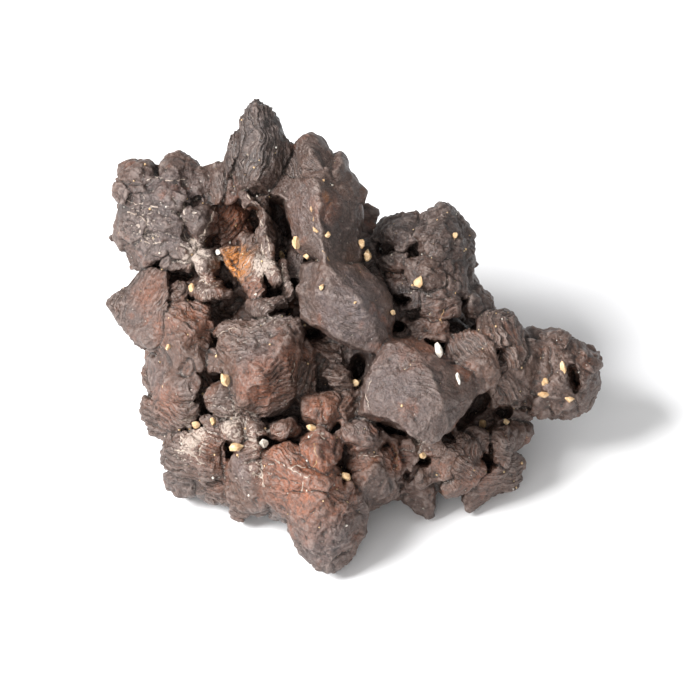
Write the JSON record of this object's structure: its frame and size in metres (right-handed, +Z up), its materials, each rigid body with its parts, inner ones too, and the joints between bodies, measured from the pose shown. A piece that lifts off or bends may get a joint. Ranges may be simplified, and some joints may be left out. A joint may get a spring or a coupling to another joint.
{
  "type": "mineral specimen",
  "caption": "Dark brown iron-oxide crystal cluster with a tall spire, a knobby side lobe, a lumpy arm and a pointed crystal hanging in front, standing on worn feet.",
  "frame": {"origin": "on the table, under the middle of the stone's bounding box", "axes": "+Z up, +X along the stone's longest side and to the right as it is looked at, -Y towards the viewer"},
  "size_m": [0.0695, 0.059, 0.0465],
  "materials": {
    "iron_oxide": "dark brown to lilac grey, dull waxy shine, rusty in the hollows"
  },
  "bodies": {
    "root": {"stone": "iron_oxide"}
  },
  "joints": []
}
